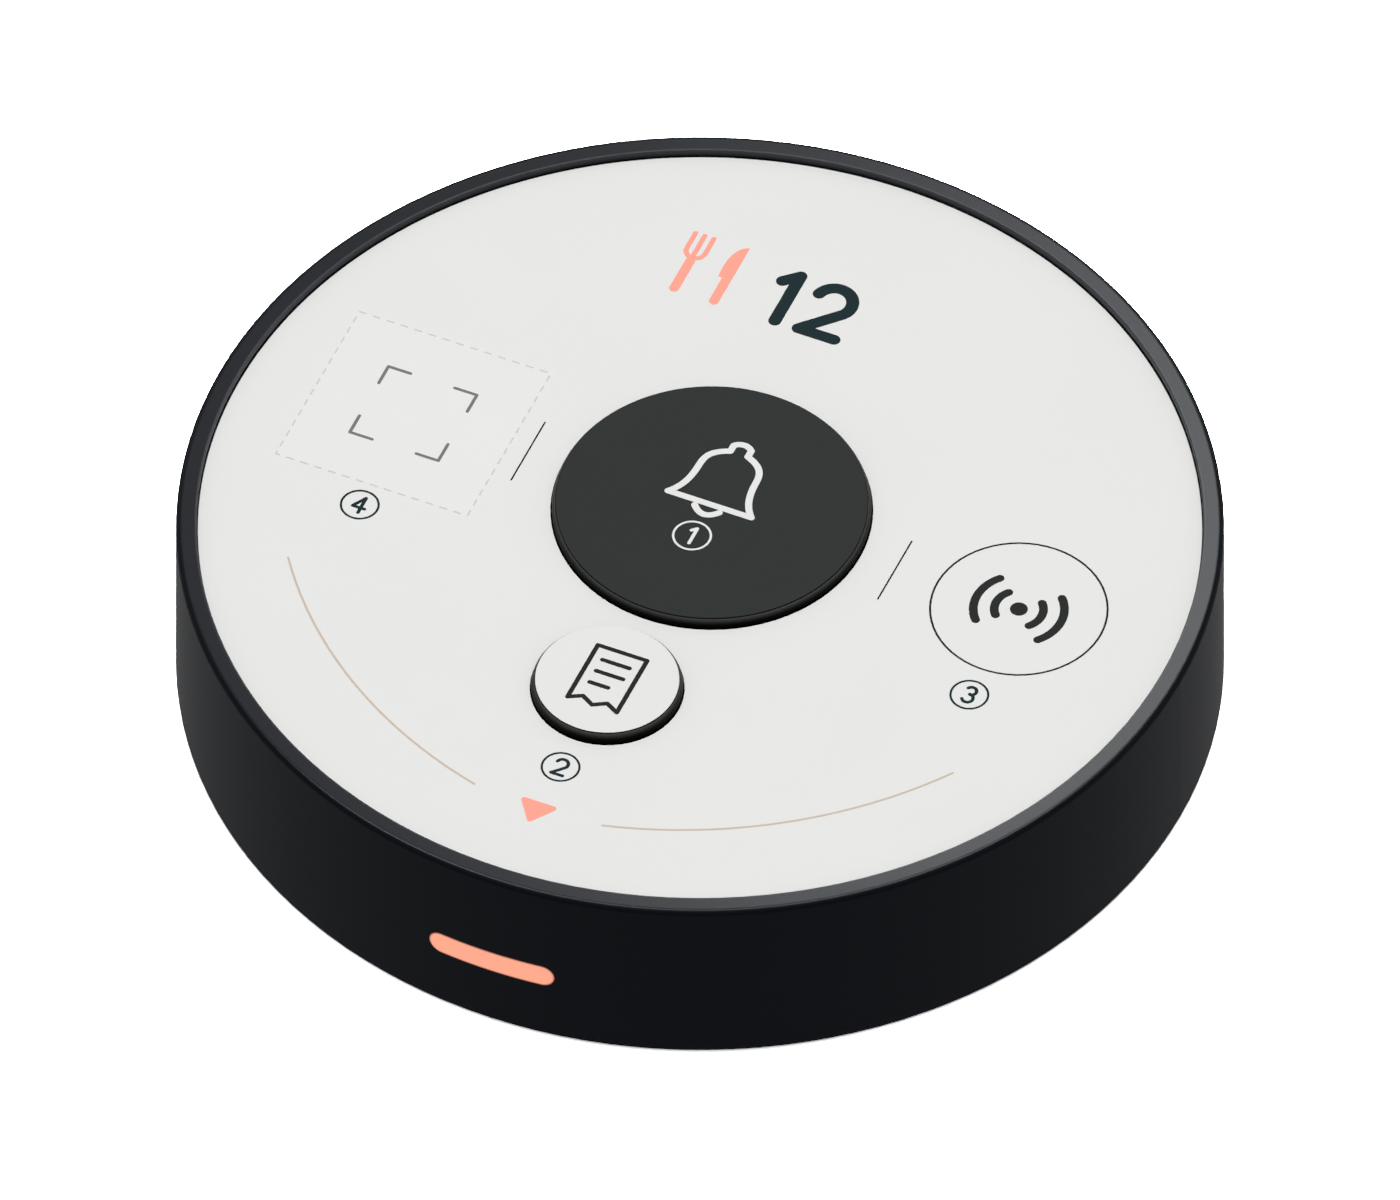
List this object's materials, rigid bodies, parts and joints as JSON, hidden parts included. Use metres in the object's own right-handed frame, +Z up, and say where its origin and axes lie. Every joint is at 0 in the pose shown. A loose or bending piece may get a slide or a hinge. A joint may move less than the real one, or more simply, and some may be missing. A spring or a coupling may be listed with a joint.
{
  "type": "table call button",
  "caption": "Round table-top call button with a large and a small push button, a tap zone, a code patch, a front light bar and a coin cell under a bayonet cap in its base.",
  "frame": {"origin": "centre of the round footprint, on the surface that the feet stand on", "axes": "+Z up; -Y towards the front light bar; +X to the right, towards the tap zone"},
  "size_m": [0.1, 0.1, 0.0203],
  "materials": {
    "housing_plastic": "fine satin",
    "faceplate_white": "satin",
    "adhesive": "film",
    "patch_film": "matt film",
    "light_guide": "translucent, lit",
    "led_package": "gloss",
    "board_laminate": "solder mask",
    "switch_case": "matt",
    "shield_metal": "tinned",
    "component_black": "matt",
    "screw_steel": "zinc plated",
    "contact_brass": "plated spring sheet",
    "antenna_film": "amber film",
    "antenna_metal": "etched copper",
    "base_plastic": "fine spark texture",
    "seal_rubber": "soft",
    "foot_rubber": "matt",
    "cap_black": "satin",
    "disc_dark": "satin",
    "plunger_white": "smooth",
    "spring_steel": "drawn wire",
    "disc_white": "satin",
    "cell_steel": "nickel plated"
  },
  "bodies": {
    "case": {"housing": "housing_plastic", "faceplate": "faceplate_white", "faceplate_adhesive": "adhesive", "code_patch": "patch_film", "light_bar": "light_guide", "status_leds": "led_package", "circuit_board": "board_laminate", "call_switch": "switch_case", "bill_switch": "switch_case", "radio_module": "shield_metal", "board_components": "component_black", "board_screws": "screw_steel", "negative_contact": "contact_brass", "positive_contact": "contact_brass", "antenna_film": "antenna_film", "antenna_coil": "antenna_metal", "base_plate": "base_plastic", "base_seal": "seal_rubber", "base_screws": "screw_steel", "feet": "foot_rubber"},
    "call_button": {"call_cap": "cap_black", "call_cover_disc": "disc_dark", "call_plunger": "plunger_white", "call_spring": "spring_steel"},
    "bill_button": {"bill_cap": "cap_black", "bill_cover_disc": "disc_white", "bill_plunger": "plunger_white", "bill_spring": "spring_steel"},
    "battery_door": {"battery_cap": "base_plastic", "battery_cap_seal": "seal_rubber", "coin_cell": "cell_steel"}
  },
  "joints": [
    {"name": "call_press", "type": "slide", "parent": "case", "child": "call_button", "axis": [0, 0, -1], "range_m": [0, 0.0006], "stiffness_N_per_m": 1500, "springref_m": -0.0008, "deforming": ["call_spring"]},
    {"name": "bill_press", "type": "slide", "parent": "case", "child": "bill_button", "axis": [0, 0, -1], "range_m": [0, 0.0006], "stiffness_N_per_m": 1200, "springref_m": -0.0008, "deforming": ["bill_spring"]},
    {"name": "battery_cap_turn", "type": "hinge", "parent": "case", "child": "battery_door", "pos_m": [0, 0, 0.002], "axis": [0, 0, -1], "range_deg": [0, 30]}
  ]
}
